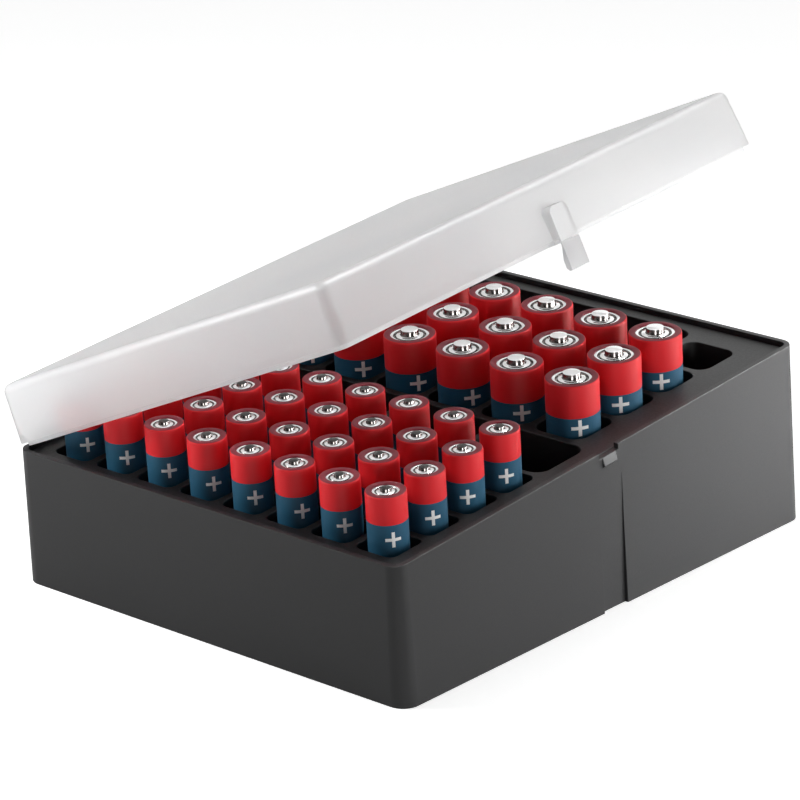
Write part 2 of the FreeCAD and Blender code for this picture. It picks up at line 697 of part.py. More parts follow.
def makeScrews():
    """Four pan-head screws in one body, as separate solids."""
    body = newBody("base_screws", levelFrame)
    heads = newSketch(body, "HeadOutline", "XY_Plane", out="headRecessDepth")
    shanks = newSketch(body, "ShankOutline", "XY_Plane", out="headRecessDepth")
    for x in ("-bossLeftX", "bossRightX"):
        for y in ("-bossY", "bossY"):
            addCircle(heads, x, y, "screwHeadRadius")
            addCircle(shanks, x, y, "pilotRadius")
    extrude(body, "Pad", "Heads", heads, "screwHeadHeight", reverse=True)
    extrude(body, "Pad", "Shanks", shanks, "screwLength")
    return body


def makeCell(label, kind, column, row):
    """One upright cell that stands on the floor of its slot."""
    across = "(Sizes.%sFirstX + %d * Sizes.%sPitch)" % (kind, column, kind)
    body = newBody(label, trayFrame)
    deep = "Sizes.%sFloorDepth" % kind
    body.setExpression("Placement.Base.x", "%s * Sizes.tiltCosine + (%s - Sizes.midDepth)"
                       " * Sizes.tiltSine" % (across, deep))
    body.setExpression("Placement.Base.y", "%d * Sizes.%sPitch - Sizes.%sFirstY"
                       % (row, kind, kind))
    body.setExpression("Placement.Base.z", "%s * Sizes.tiltSine + (Sizes.midDepth - %s)"
                       " * Sizes.tiltCosine" % (across, deep))
    profile = newSketch(body, "CellProfile", "XZ_Plane")
    addOutline(profile, [("0", "0"), (kind + "Radius", "0"), (kind + "Radius", kind + "Edge"),
                         (kind + "Shoulder", kind + "Can"), (kind + "NubRadius", kind + "Can"),
                         (kind + "NubRadius", kind + "Total"), ("0", kind + "Total")])
    can = body.newObject("PartDesign::Revolution", "Can")
    can.Profile = profile
    can.ReferenceAxis = (originPart(body, "Z_Axis"), [""])
    return body


def makeHingePin(label, place):
    """A plain steel pin through one pair of ears."""
    body = newBody(label, trayFrame)
    outline = newSketch(body, "PinOutline", "YZ_Plane", out=place)
    addCircle(outline, "axisY", "0", "pinRadius")
    extrude(body, "Pad", "Pin", outline, "pinLength", middle=True)
    return body


def makeLidShell():
    """The clear lid, with a stepped rim, the latch's root and two hinge knuckles."""
    body = newBody("lid_shell", lidFrame)
    outline = newSketch(body, "LidOutline", "XY_Plane", out="rimGap")
    addRoundedOutline(outline, "-halfLength", "halfLength", "-halfDepth", "halfDepth",
                      "cornerRadius")
    block = extrude(body, "Pad", "LidBlock", outline, "lidRise", taper="-lidDraft")
    top = size("lidHeight") - size("edgeSlack")
    crown = roundEdges(body, "LidCrown", block, "lidRound",
                       lambda edge: edge.BoundBox.ZMin > top)

    inner = newSketch(body, "LidInnerOutline", "XY_Plane", out="rimGap")
    addRoundedOutline(inner, "-lidInnerHalfLength", "lidInnerHalfLength",
                      "-lidInnerHalfDepth", "lidInnerHalfDepth", "lidInnerRadius")
    hollow = extrude(body, "Pocket", "LidInside", inner, "lidPocket", reverse=True,
                     taper="-lidDraft")
    ceiling = size("rimGap") + size("lidPocket")
    slack = size("edgeSlack")
    roundEdges(body, "LidInnerCrown", hollow, "lidInnerRound",
               lambda edge: abs(edge.BoundBox.ZMin - ceiling) < slack
               and abs(edge.BoundBox.ZMax - ceiling) < slack)

    step = newSketch(body, "StepOutline", "XY_Plane", out="rimGap")
    addRoundedOutline(step, "-stepOutHalfLength", "stepOutHalfLength", "-stepOutHalfDepth",
                      "stepOutHalfDepth", "stepOutRadius")
    addRoundedOutline(step, "-skirtInHalfLength", "skirtInHalfLength", "-skirtInHalfDepth",
                      "skirtInHalfDepth", "skirtInRadius")
    extrude(body, "Pad", "RimStep", step, "stepHeight")
    skirt = newSketch(body, "SkirtOutline", "XY_Plane", out="-skirtDrop")
    addRoundedOutline(skirt, "-skirtOutHalfLength", "skirtOutHalfLength",
                      "-skirtOutHalfDepth", "skirtOutHalfDepth", "skirtOutRadius")
    addRoundedOutline(skirt, "-skirtInHalfLength", "skirtInHalfLength",
                      "-skirtInHalfDepth", "skirtInHalfDepth", "skirtInRadius")
    extrude(body, "Pad", "Skirt", skirt, "skirtRise")

    addLatchRoot(body)
    for i, place in enumerate(("-earOuterX", "-earInnerX", "earInnerX", "earOuterX"), start=1):
        cutRelief(body, "EarRelief%d" % i, place, "earSlot")
    for name, place in (("LeftKnuckle", "-halfHinge"), ("RightKnuckle", "halfHinge")):
        addHingeProfile(body, name, place, "knuckleWidth", "")
    cutPinBore(body, "pinBoreRadius")
    return body


def addLatchRoot(body):
    """The fixed upper half of the latch, with rounded corners and a thin neck."""
    root = newSketch(body, "LatchRootProfile", "YZ_Plane")
    addOutline(root, [("-tabRoot", "tabTop"), ("-tabFace", "tabTop"),
                      ("-tabFace", "-neckStop"), ("-neckBack", "-neckStop"),
                      ("-neckBack", "rimGap"), ("-halfDepth", "rimGap"),
                      ("-halfDepth", "-skirtDrop"), ("-fillRoot", "-skirtDrop"),
                      ("-fillRoot", "fillTop"), ("-tabRoot", "fillTop")])
    pad = extrude(body, "Pad", "LatchRoot", root, "tabWidth", middle=True)
    reach, side = size("halfDepth"), size("halfTab") - size("neckGap")
    height = size("tabTop") - size("neckGap")
    roundEdges(body, "LatchRootCorners", pad, "tabRound",
               lambda edge: edge.BoundBox.YMin < -reach and edge.BoundBox.ZMin > height
               and abs(edge.BoundBox.Center.x) > side)


def makeLatchTab():
    """The flap of the latch, which bends at the neck and hooks under the catch."""
    body = newBody("latch_tab", lidFrame)
    profile = newSketch(body, "FlapProfile", "YZ_Plane")
    corners = [("-tabFace", "-neckDepth"), ("-tabFace", "-flapTip"),
               ("-flapTipBack", "-flapTip"), ("-flapSwellBack", "-flapTaper"),
               ("-flapSwellBack", "-flapSwell"), ("-neckBack", "-flapShoulder"),
               ("-neckBack", "-neckDepth")]
    points = [Vector(size(x), size(y), 0) for x, y in corners]
    for here, there in zip(points, points[1:]):
        profile.addGeometry(Part.LineSegment(here, there), False)
    crown = Vector(-size("neckMiddle"), size("neckThickness") / 2 - size("neckDepth"), 0)
    profile.addGeometry(Part.Arc(points[-1], crown, points[0]), False)
    last = len(corners) - 1
    for i in range(last):
        pin(profile, i, 1, *corners[i])
    pin(profile, last - 1, 2, *corners[last])
    for i in range(last - 1):
        profile.addConstraint(Sketcher.Constraint("Coincident", i, 2, i + 1, 1))
    profile.addConstraint(Sketcher.Constraint("Coincident", last - 1, 2, last, 1))
    profile.addConstraint(Sketcher.Constraint("Coincident", last, 2, 0, 1))
    index = profile.addConstraint(
        Sketcher.Constraint("DistanceY", -1, 1, last, 3, -size("neckDepth")))
    profile.setExpression("Constraints[%d]" % index, "-Sizes.neckDepth")
    extrude(body, "Pad", "Flap", profile, "tabWidth", middle=True)
    return body


def makeAll():
    """Every piece of the case, in the order of assembly."""
    pieces = [makeCaseShell(), makeCellTray(), makeBasePlate(), makeScrews(),
              makeHingePin("hinge_pin_left", "-halfHinge"),
              makeHingePin("hinge_pin_right", "halfHinge"),
              makeLidShell(), makeLatchTab()]
    for kind, columns, rows in (("small", "smallColumns", "smallRows"),
                                ("large", "largeColumns", "largeRows")):
        for column in range(int(size(columns))):
            for row in range(int(size(rows))):
                label = "%s_cell_%d_%d" % (kind, column + 1, row + 1)
                pieces.append(makeCell(label, kind, column, row))
    return pieces


def checkAndWrite(pieces):
    """Stops on a failed feature or a bad solid, and writes one file for each piece."""
    document.recompute()
    for item in document.Objects:
        if "Invalid" in item.State or "Error" in item.State:
            raise RuntimeError("%s failed: %s" % (item.Label, item.State))
    os.makedirs("parts", exist_ok=True)
    for piece in pieces:
        shape = piece.Shape
        if shape.isNull() or not shape.isValid() or not shape.Solids:
            raise RuntimeError("%s has a bad shape" % piece.Label)
        shape.exportStep("parts/%s.step" % piece.Label)
        box = shape.BoundBox
        print("%-18s solids %3d  volume %9.1f  x %7.2f %7.2f  y %7.2f %7.2f  z %7.2f %7.2f"
              % (piece.Label, len(shape.Solids), shape.Volume, box.XMin, box.XMax,
                 box.YMin, box.YMax, box.ZMin, box.ZMax))


fillSheet()
checkAndWrite(makeAll())
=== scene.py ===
# Battery storage case: black housing and slotted tray, frosted lid, two kinds of cell.
import json
import math

import bmesh
import bpy
from mathutils import Matrix, Vector


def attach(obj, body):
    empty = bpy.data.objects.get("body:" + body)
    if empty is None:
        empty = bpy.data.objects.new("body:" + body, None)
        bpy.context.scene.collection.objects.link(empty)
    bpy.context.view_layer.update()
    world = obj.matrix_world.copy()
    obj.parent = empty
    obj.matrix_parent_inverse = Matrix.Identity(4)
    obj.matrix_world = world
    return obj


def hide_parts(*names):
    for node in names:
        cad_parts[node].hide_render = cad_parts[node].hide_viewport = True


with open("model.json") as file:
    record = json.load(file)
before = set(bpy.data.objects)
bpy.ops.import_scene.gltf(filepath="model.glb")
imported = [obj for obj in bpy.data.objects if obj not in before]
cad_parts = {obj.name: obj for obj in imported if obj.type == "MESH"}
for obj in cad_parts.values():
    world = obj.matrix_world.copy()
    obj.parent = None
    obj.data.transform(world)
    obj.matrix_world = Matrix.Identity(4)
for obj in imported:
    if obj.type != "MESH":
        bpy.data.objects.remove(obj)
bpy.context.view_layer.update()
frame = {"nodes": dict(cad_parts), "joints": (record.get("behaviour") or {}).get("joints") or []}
nodes = frame["nodes"]
print("frame loaded:", len(nodes), "nodes")

mm = 0.001

# The tray leans about Y. The lid's hinge lies along its rim, so it gives the lean and the height.
hinge = next(joint for joint in frame["joints"] if joint["name"] == "lid_hinge")
lean = math.atan2(-hinge["axis"][2], -hinge["axis"][0])
rimHeight = math.hypot(hinge["pos_m"][0], hinge["pos_m"][2])
trayFrame = Matrix.Rotation(-lean, 4, "Y") @ Matrix.Translation((0, 0, rimHeight))


def addNode(tree, kind, inputs=None, **settings):
    # one node with its settings, plain values and links; a node stands for its first output
    node = tree.nodes.new(kind)
    for name, value in settings.items():
        setattr(node, name, value)
    for name, value in (inputs or {}).items():
        for source in value if isinstance(value, list) else [value]:
            if isinstance(source, bpy.types.Node):
                source = source.outputs[0]
            if isinstance(source, bpy.types.NodeSocket):
                tree.links.new(source, node.inputs[name])
            else:
                node.inputs[name].default_value = source
    return node


def colour(text):
    # sRGB hex to linear
    parts = [int(text[i:i + 2], 16) / 255 for i in (1, 3, 5)]
    return tuple(p / 12.92 if p <= 0.04045 else ((p + 0.055) / 1.055) ** 2.4
                 for p in parts) + (1.0,)


def newMaterial(name, inputs):
    # an empty node material with its shader, whose plain values are given
    material = bpy.data.materials.new(name)
    material.use_nodes = True
    tree = material.node_tree
    tree.nodes.clear()
    shader = addNode(tree, "ShaderNodeBsdfPrincipled", inputs)
    addNode(tree, "ShaderNodeOutputMaterial", {"Surface": shader})
    return material, tree, shader


def grainOn(tree, shader, look, detail=3.0):
    # a noise of one width that moves the roughness between two values and lifts the surface
    place = addNode(tree, "ShaderNodeTexCoord").outputs["Object"]
    noise = addNode(tree, "ShaderNodeTexNoise", {"Vector": place, "Detail": detail,
                                                 "Scale": 1 / (look["grain"] * mm),
                                                 "Roughness": 0.6})
    low, high = look["roughness"]
    rough = addNode(tree, "ShaderNodeMapRange", {"Value": noise, "From Min": 0.3,
                                                 "From Max": 0.7, "To Min": low, "To Max": high})
    bump = addNode(tree, "ShaderNodeBump", {"Height": noise, "Strength": look["bump"],
                                            "Distance": look["lift"] * mm})
    tree.links.new(rough.outputs[0], shader.inputs["Roughness"])
    tree.links.new(bump.outputs[0], shader.inputs["Normal"])
    return place, noise


def fadeColours(tree, shader, value, look, low=0.35, high=0.65):
    # a slow change between the two colours of a look
    first, second = look["colours"]
    share = addNode(tree, "ShaderNodeMapRange", {"Value": value, "From Min": low,
                                                 "From Max": high})
    mix = addNode(tree, "ShaderNodeMix", {"Factor": share, 6: colour(first), 7: colour(second)},
                  data_type="RGBA")
    tree.links.new(mix.outputs[2], shader.inputs["Base Color"])


# Looks: colours are sRGB. Grain and patch are widths and lift is a height, in millimetres.
# A real grain of 0.1 mm or a hairline scratch would not show, so both are drawn coarser.
plasticLooks = {
    # moulded ABS, spark-eroded mould: an even, fine matt grain that breaks up reflections
    "housing": {"name": "spark_textured_abs", "colours": ("#1A1A1B", "#1E1E1F"),
                "roughness": (0.44, 0.54), "grain": 0.25, "lift": 0.04, "bump": 0.3,
                "patch": 71.4, "shader": {"IOR": 1.53, "Specular IOR Level": 0.35}},
    # moulded polystyrene with a satin skin: soft streaks of light on the rims of the slots
    "tray": {"name": "satin_moulded_polystyrene", "colours": ("#111112", "#151516"),
             "roughness": (0.42, 0.52), "grain": 0.714, "lift": 0.03, "bump": 0.25,
             "patch": 45.5, "shader": {"IOR": 1.55, "Specular IOR Level": 0.28}},
    # natural polypropylene from a blasted mould: milky, lets light through but no shapes
    "lid": {"name": "frosted_polypropylene", "colours": ("#F8F8F8", "#F2F3F4"),
            "roughness": (0.40, 0.46), "grain": 0.4, "lift": 0.02, "bump": 0.2,
            "patch": 62.5, "shader": {"IOR": 1.49, "Transmission Weight": 0.78}},
    # the same in the flap, which stands out from the lid's front by its greyer tone
    "flap": {"name": "frosted_polypropylene_flap", "colours": ("#E8E8E9", "#E0E1E2"),
             "roughness": (0.40, 0.46), "grain": 0.4, "lift": 0.02, "bump": 0.2,
             "patch": 62.5, "shader": {"IOR": 1.49, "Transmission Weight": 0.78}},
}


def makePlastic(look):
    # wide, faint patches of tone, as on a large moulding, under the mould's grain
    material, tree, shader = newMaterial(look["name"], look["shader"])
    place, noise = grainOn(tree, shader, look)
    slow = addNode(tree, "ShaderNodeTexNoise", {"Vector": place, "Detail": 2.0,
                                                "Scale": 1 / (look["patch"] * mm)})
    fadeColours(tree, shader, slow, look)
    return material


# printed film, pulled tight by heat: a satin sheen that softens every reflection
filmSurface = {"roughness": (0.46, 0.54), "grain": 3.33, "lift": 0.02, "bump": 0.1,
               "shader": {"IOR": 1.48, "Specular IOR Level": 0.25}}
filmLooks = {
    "filmRed": {"name": "red_shrink_film", "colours": ("#DB1B24", "#D21921")},
    "filmBlue": {"name": "blue_shrink_film", "colours": ("#22556F", "#1E4F69")},
    # the film folded over the end of the can, where it is wrinkled and duller
    "filmFold": {"name": "folded_film_edge", "colours": ("#8C2C38", "#802833")},
    "filmPrint": {"name": "white_print_on_film", "colours": ("#F0F0EE", "#EAEAE8")},
}


def makeFilm(look):
    # each cell has its own tone between the two colours
    look = {**filmSurface, **look}
    material, tree, shader = newMaterial(look["name"], look["shader"])
    grainOn(tree, shader, look, detail=1.0)
    tone = addNode(tree, "ShaderNodeAttribute", attribute_name="cellTone")
    fadeColours(tree, shader, tone.outputs["Fac"], look, 0.0, 1.0)
    return material


# plated sheet steel, drawn in a press: mirror-like, with fine scratches
steelSurface = {"grain": 0.333, "lift": 0.01, "bump": 0.12}
steelLooks = {
    "steel": {"name": "nickel_plated_steel", "colours": ("#FFFFFF", "#FAFAF9"),
              "roughness": (0.08, 0.12)},
    # the small cells' nub ends: steel painted darker than the flats, a painted dark reflection
    "steelPaintedDarkReflection": {"name": "steel_nub_painted_dark_reflection", "colours": ("#4E4B49", "#434140"),
                  "roughness": (0.2, 0.3)},
    # the pressed grooves and the sides of the nubs: steel painted darker than the flats, painted
    # shade
    "steelPaintedGrooveShade": {"name": "steel_painted_groove_shade", "colours": ("#777371", "#6A6664"),
                    "roughness": (0.14, 0.2)},
    # screws and hinge pins: a greyer, softer shine
    "screw": {"name": "zinc_plated_steel", "colours": ("#B9B7B2", "#A9A7A2"),
              "roughness": (0.28, 0.42)},
}


def makeSteel(look):
    # the noise that makes the scratches also makes their tone
    look = {**steelSurface, **look}
    material, tree, shader = newMaterial(look["name"], {"Metallic": 1.0})
    place, noise = grainOn(tree, shader, look)
    fadeColours(tree, shader, noise, look)
    return material


materials = {}
for looks, make in ((plasticLooks, makePlastic), (filmLooks, makeFilm), (steelLooks, makeSteel)):
    materials.update({finish: make(look) for finish, look in looks.items()})
print("materials made:", len(materials))


def newPiece(name, mesh):
    # an object at the origin, as every finished piece is
    piece = bpy.data.objects.new(name, mesh)
    bpy.context.scene.collection.objects.link(piece)
    return piece


def finishPiece(piece, body, replaced):
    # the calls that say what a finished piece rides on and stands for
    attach(piece, body)
    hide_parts(*replaced)


def keepResult(piece, modifier):
    # what the modifier makes becomes the piece's own plain mesh
    view = bpy.context.evaluated_depsgraph_get()
    result = bpy.data.meshes.new_from_object(piece.evaluated_get(view))
    piece.modifiers.remove(modifier)
    piece.data = result
    result.name = piece.name


def shadeByAngle(mesh, degrees=32.0):
    # smooth faces, with sharp edges where two faces meet at a larger angle
    shape = bmesh.new()
    shape.from_mesh(mesh)
    limit = math.radians(degrees)
    for face in shape.faces:
        face.smooth = True
    for edge in shape.edges:
        edge.smooth = len(edge.link_faces) == 2 and edge.calc_face_angle() < limit
    shape.to_mesh(mesh)
    shape.free()


def softCopy(node, name, finish, width, segments=2, least=30.0):
    # a merged copy of a node's mesh, with rounds of this width on edges sharper than `least`
    mesh = nodes[node].data.copy()
    mesh.name = name
    mesh.materials.clear()
    mesh.materials.append(materials[finish])
    shape = bmesh.new()
    shape.from_mesh(mesh)
    bmesh.ops.remove_doubles(shape, verts=shape.verts, dist=2e-6)
    bmesh.ops.dissolve_limit(shape, angle_limit=math.radians(0.4), verts=shape.verts,
                             edges=shape.edges)
    limit = math.radians(least)
    edges = [edge for edge in shape.edges
             if len(edge.link_faces) == 2 and edge.calc_face_angle() > limit]
    bmesh.ops.bevel(shape, geom=edges, offset=width * mm, segments=segments, profile=0.5,
                    affect="EDGES", clamp_overlap=False)
    shape.to_mesh(mesh)
    shape.free()
    shadeByAngle(mesh)
    piece = newPiece(name, mesh)
    smooth = piece.modifiers.new("flatFacesFirst", "WEIGHTED_NORMAL")
    smooth.keep_sharp, smooth.weight = True, 80
    keepResult(piece, smooth)
    return piece


def workOut(tree, values, steps):
    # adds to a tree's values those that are worked out from them, one step at a time
    values = dict(values)
    for name, (first, operation, second) in steps.items():
        values[name] = addNode(tree, "ShaderNodeMath", {0: values.get(first, first),
                                                        1: values.get(second, second)},
                               operation=operation)
    return values


def movedTo(tree, geometry, x=0.0, y=0.0, z=0.0):
    # a geometry moved from the origin to a place
    place = addNode(tree, "ShaderNodeCombineXYZ", {0: x, 1: y, 2: z})
    return addNode(tree, "GeometryNodeTransform", {"Geometry": geometry, "Translation": place})


def gridOfPoints(tree, size, pitchX, pitchY):
    # one point for each slot or cell, about the origin, and the sizes with the grid's spans
    size = workOut(tree, size, {
        "gapsX": ("Columns", "SUBTRACT", 1.0), "spanX": (pitchX, "MULTIPLY", "gapsX"),
        "gapsY": ("Rows", "SUBTRACT", 1.0), "spanY": (pitchY, "MULTIPLY", "gapsY")})
    grid = addNode(tree, "GeometryNodeMeshGrid",
                   {"Size X": size["spanX"], "Size Y": size["spanY"],
                    "Vertices X": size["Columns"], "Vertices Y": size["Rows"]})
    return grid, size


def newTree(name, inputs):
    # a Geometry Nodes tree with named inputs, and the identifier of each
    tree = bpy.data.node_groups.new(name, "GeometryNodeTree")
    tree.is_modifier = True
    tree.interface.new_socket("Geometry", in_out="OUTPUT", socket_type="NodeSocketGeometry")
    tree.interface.new_socket("Geometry", in_out="INPUT", socket_type="NodeSocketGeometry")
    kinds = {int: "NodeSocketInt", float: "NodeSocketFloat", bpy.types.Material:
             "NodeSocketMaterial"}
    identifiers = {}
    for label, value in inputs.items():
        socket = tree.interface.new_socket(label, in_out="INPUT",
                                           socket_type=kinds[type(value)])
        identifiers[label] = socket.identifier
    source = addNode(tree, "NodeGroupInput").outputs
    return tree, source, identifiers


def runTree(name, mesh, tree, identifiers, inputs):
    # runs a tree on a mesh and keeps the result as a piece with a plain mesh
    piece = newPiece(name, mesh)
    modifier = piece.modifiers.new(name, "NODES")
    modifier.node_group = tree
    for label, value in inputs.items():
        modifier[identifiers[label]] = value
    keepResult(piece, modifier)
    piece.data.transform(trayFrame @ Matrix.Scale(mm, 4))
    return piece


# The tray, in millimetres in its own leaning frame. Width runs along X and Length along Y.
# Points closer than Weld are merged.
trayPlate = {
    "Width": 167.5, "Length": 128.0, "Corner": 2.25, "Top": -1.5, "Thickness": 1.8,
    "Edge Round": 0.25, "Rim Round": 0.25, "Floor Round": 1.0, "Slot Wall": 1.6, "Weld": 0.004,
}
slotKinds = {
    "small": {"Width": 12.5, "Length": 12.5, "Corner": 2.2, "Floor": -30.3, "Pitch X": 15.0,
              "Pitch Y": 15.0, "Middle X": -50.35, "Middle Y": 0.0, "Columns": 4, "Rows": 8},
    "block": {"Width": 19.6, "Length": 27.725, "Corner": 4.0, "Floor": -36.3, "Pitch X": 20.0,
              "Pitch Y": 29.925, "Middle X": -10.0, "Middle Y": 0.0, "Columns": 1, "Rows": 4},
    "large": {"Width": 16.2, "Length": 16.2, "Corner": 3.6, "Floor": -37.0, "Pitch X": 18.5,
              "Pitch Y": 18.5, "Middle X": 29.0, "Middle Y": 0.0, "Columns": 3, "Rows": 6},
    "spare": {"Width": 16.2, "Length": 16.2, "Corner": 3.6, "Floor": -37.0, "Pitch X": 18.5,
              "Pitch Y": 18.5, "Middle X": 66.0, "Middle Y": -46.25, "Columns": 1, "Rows": 1},
    "trough": {"Width": 21.4, "Length": 90.2, "Corner": 4.0, "Floor": -37.0, "Pitch X": 22.0,
               "Pitch Y": 91.0, "Middle X": 68.6, "Middle Y": 9.25, "Columns": 1, "Rows": 1},
}
slotBlocks = {                   # the closed blocks under the plate, outside sizes
    "smallBlock": {"Width": 60.7, "Length": 120.7, "Floor": -30.3, "Middle X": -50.35},
    "oblongBlock": {"Width": 22.8, "Length": 120.7, "Floor": -36.3, "Middle X": -10.0},
    "largeBlock": {"Width": 80.1, "Length": 111.9, "Floor": -37.0, "Middle X": 40.85},
}


def arcProfile(tree, radius, start, sweep, x, y, points=5):
    # a part of a circle in a profile, with its centre at x, y
    arc = addNode(tree, "GeometryNodeCurveArc", {"Resolution": points, "Radius": radius,
                                                 "Start Angle": math.radians(start),
                                                 "Sweep Angle": math.radians(sweep)})
    return movedTo(tree, arc, x, y)


def uprightProfile(tree, start, end):
    # a straight part of a profile, down the wall from one depth to another
    ends = [addNode(tree, "ShaderNodeCombineXYZ", {1: depth}) for depth in (start, end)]
    return addNode(tree, "GeometryNodeCurvePrimitiveLine", {"Start": ends[0], "End": ends[1]})


def wallAlong(tree, outline, profiles):
    # the wall that a profile makes on its way round an outline
    profile = addNode(tree, "GeometryNodeJoinGeometry", {0: profiles})
    return addNode(tree, "GeometryNodeCurveToMesh", {"Curve": outline, "Profile Curve": profile})


def roundedOutline(tree, size, grow=0.0, bendPoints=7):
    # the rounded rectangle of a slot, a block or the plate, moved outwards by `grow`
    size = workOut(tree, {**size, "grow": grow}, {
        "twice": ("grow", "MULTIPLY", 2.0), "across": ("Width", "ADD", "twice"),
        "along": ("Length", "ADD", "twice"), "bend": ("Corner", "ADD", "grow")})
    outline = addNode(tree, "GeometryNodeCurvePrimitiveQuadrilateral",
                      {"Width": size["across"], "Height": size["along"]})
    return addNode(tree, "GeometryNodeFilletCurve",
                   {"Curve": outline, "Radius": size["bend"], "Count": bendPoints}, mode="POLY")


def makeTray():
    # all the slots in one tree: each kind is made once and set at the points of its grid
    groups = {"plate": trayPlate, **slotKinds, **slotBlocks}
    inputs = {"Finish": materials["tray"]}
    for group, sizes in groups.items():
        inputs.update({group + " " + label: value for label, value in sizes.items()})
    tree, source, identifiers = newTree("slottedTray", inputs)

    def sizesOf(group):
        return {label: source[group + " " + label] for label in groups[group]}

    plate = workOut(tree, sizesOf("plate"), {
        "under": ("Top", "SUBTRACT", "Thickness"), "inwards": ("Edge Round", "MULTIPLY", -1.0),
        "floorInwards": ("Floor Round", "MULTIPLY", -1.0)})
    rim, edge = plate["Rim Round"], plate["Edge Round"]
    parts, holes, lowHoles = [], [], []
    for kind in slotKinds:           # walls and floors of the slots, and the holes they need
        grid, slot = gridOfPoints(tree, {**plate, **sizesOf(kind)}, "Pitch X", "Pitch Y")
        slot = workOut(tree, slot, {
            "depth": ("Top", "SUBTRACT", "Floor"), "fall": ("depth", "MULTIPLY", -1.0),
            "bendStart": ("depth", "SUBTRACT", "Floor Round")})
        places = movedTo(tree, grid, slot["Middle X"], slot["Middle Y"], plate["Top"])
        wall = wallAlong(tree, roundedOutline(tree, slot), [
            arcProfile(tree, rim, 270.0, -90.0, rim, rim),
            uprightProfile(tree, rim, slot["bendStart"]),
            arcProfile(tree, slot["Floor Round"], 0.0, 90.0, slot["floorInwards"],
                       slot["bendStart"])])
        floor = addNode(tree, "GeometryNodeFillCurve",
                        {"Curve": roundedOutline(tree, slot, slot["floorInwards"])},
                        mode="NGONS")
        for geometry, group in ((wall, parts), (movedTo(tree, floor, z=slot["fall"]), parts),
                                (roundedOutline(tree, slot, rim), holes),
                                (roundedOutline(tree, slot), lowHoles)):
            group.append(addNode(tree, "GeometryNodeInstanceOnPoints",
                                 {"Points": places, "Instance": geometry}))

    for name in slotBlocks:          # the blocks' outer walls and soles
        block = workOut(tree, {**plate, **sizesOf(name), "Corner": edge}, {
            "lowest": ("Floor", "SUBTRACT", "Slot Wall"),
            "drop": ("under", "SUBTRACT", "lowest")})
        outline = roundedOutline(tree, block, bendPoints=2)
        skirt = wallAlong(tree, outline, [uprightProfile(tree, 0.0, block["drop"])])
        sole = addNode(tree, "GeometryNodeFillCurve", {"Curve": outline}, mode="NGONS")
        lowSole = movedTo(tree, sole, block["Middle X"], z=block["lowest"])
        parts += [movedTo(tree, skirt, block["Middle X"], z=plate["under"]),
                  addNode(tree, "GeometryNodeFlipFaces", {"Mesh": lowSole})]

    sheets = []                      # the plate's two faces with their holes
    for grow, cuts, height in ((plate["inwards"], holes, plate["Top"]),
                               (0.0, lowHoles, plate["under"])):
        joined = addNode(tree, "GeometryNodeJoinGeometry", {0: cuts})
        curves = addNode(tree, "GeometryNodeRealizeInstances", {"Geometry": joined})
        outlines = addNode(tree, "GeometryNodeJoinGeometry",
                           {0: [roundedOutline(tree, plate, grow), curves]})
        sheet = addNode(tree, "GeometryNodeFillCurve", {"Curve": outlines}, mode="TRIANGLES")
        sheets.append(movedTo(tree, sheet, z=height))
    plateEdge = wallAlong(tree, roundedOutline(tree, plate), [
        arcProfile(tree, edge, 270.0, 90.0, plate["inwards"], edge),
        uprightProfile(tree, edge, plate["Thickness"])])
    parts += [sheets[0], addNode(tree, "GeometryNodeFlipFaces", {"Mesh": sheets[1]}),
              movedTo(tree, plateEdge, z=plate["Top"])]

    joined = addNode(tree, "GeometryNodeJoinGeometry", {0: parts})
    whole = addNode(tree, "GeometryNodeRealizeInstances", {"Geometry": joined})
    merged = addNode(tree, "GeometryNodeMergeByDistance", {"Geometry": whole,
                                                           "Distance": plate["Weld"]})
    painted = addNode(tree, "GeometryNodeSetMaterial", {"Geometry": merged,
                                                        "Material": source["Finish"]})
    addNode(tree, "NodeGroupOutput", {"Geometry": painted})
    piece = runTree("slotTray", bpy.data.meshes.new("slotTray"), tree, identifiers, inputs)
    shadeByAngle(piece.data)
    finishPiece(piece, "case", ["cell_tray"])
    return piece


slotTray = makeTray()
print("tray made:", len(slotTray.data.polygons), "faces")
